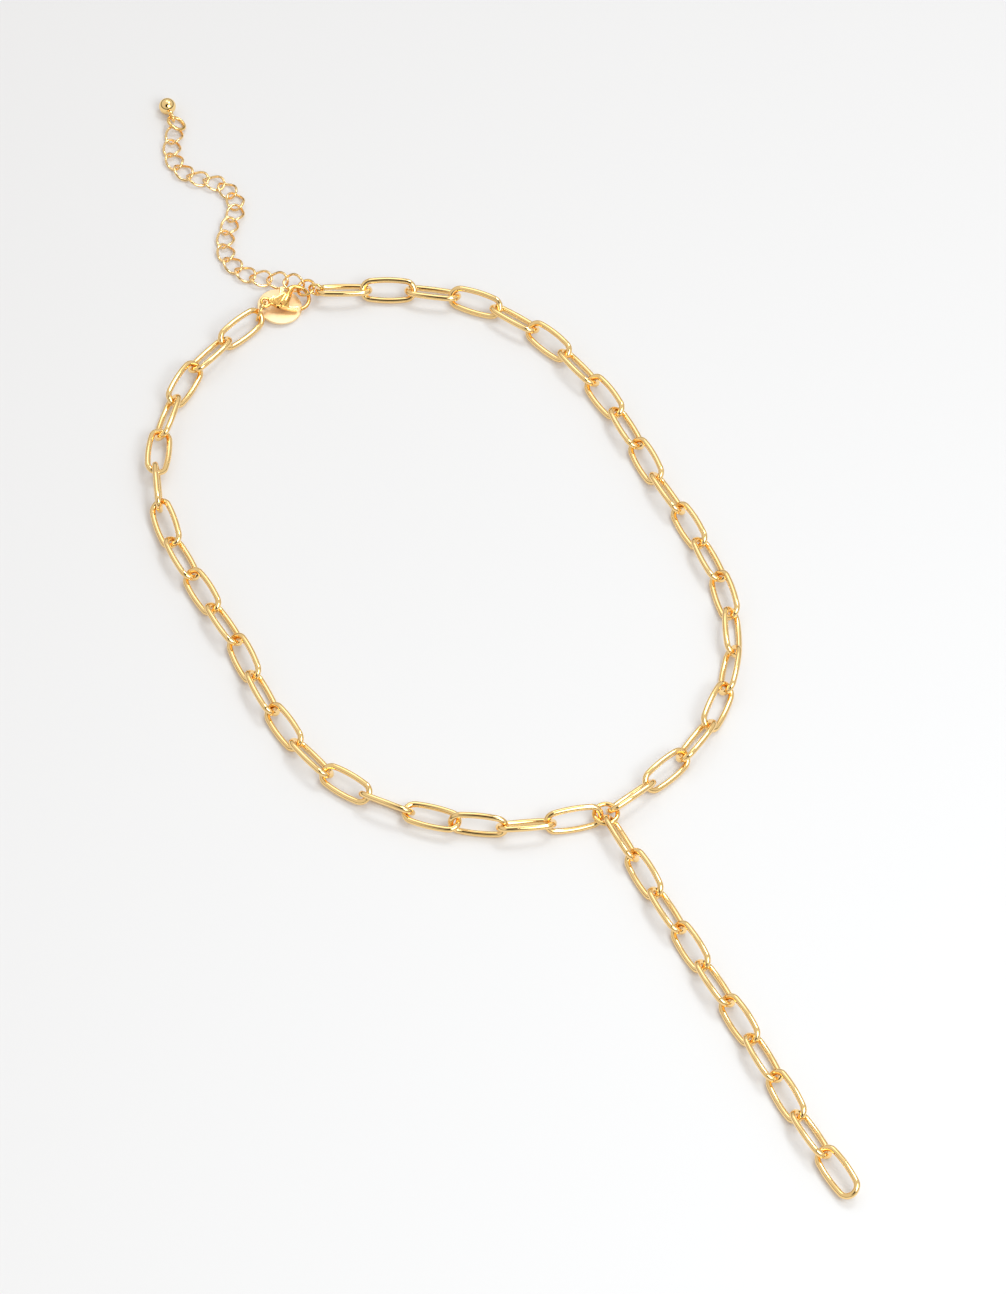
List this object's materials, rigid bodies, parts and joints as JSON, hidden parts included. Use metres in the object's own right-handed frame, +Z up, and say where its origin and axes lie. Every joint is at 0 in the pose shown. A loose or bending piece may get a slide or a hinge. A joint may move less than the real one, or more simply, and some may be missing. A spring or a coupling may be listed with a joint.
{
  "type": "y necklace",
  "caption": "Y necklace of paperclip links with a straight drop, a lobster clasp, a plain disc tag and an extender that ends in a ball, laid flat.",
  "frame": {"origin": "bottom centre of the laid necklace's bounding box, on the surface that it lies on", "axes": "+Z up from the surface, +Y along the necklace's length from the drop's end to the end ball, +X to the right seen from above with +Y away"},
  "size_m": [0.15, 0.2902, 0.0059],
  "materials": {
    "chain": "gold plated, polished wire",
    "rings": "gold plated, polished wire",
    "clasp": "gold plated, cast and polished",
    "tag": "gold plated, satin faces with a bright rim",
    "extender": "gold plated, polished wire",
    "ball": "gold plated, mirror polished"
  },
  "bodies": {
    "necklace": {"right_chain": "chain", "left_chain": "chain", "drop_chain": "chain", "centre_ring": "rings", "chain_ring": "rings", "hook_ring": "rings", "eye_ring": "rings", "clasp_body": "clasp", "tag": "tag", "extender_chain": "extender", "end_ring": "rings", "end_ball": "ball"},
    "lever": {"clasp_lever": "clasp"}
  },
  "joints": [
    {"name": "lever_press", "type": "hinge", "parent": "necklace", "child": "lever", "pos_m": [-0.04537, 0.08362, 0.00281], "axis": [0.2723, -0.2686, 0.924], "range_deg": [0, 25], "stiffness_Nm_per_rad": 0.004, "springref_deg": -20.05}
  ]
}
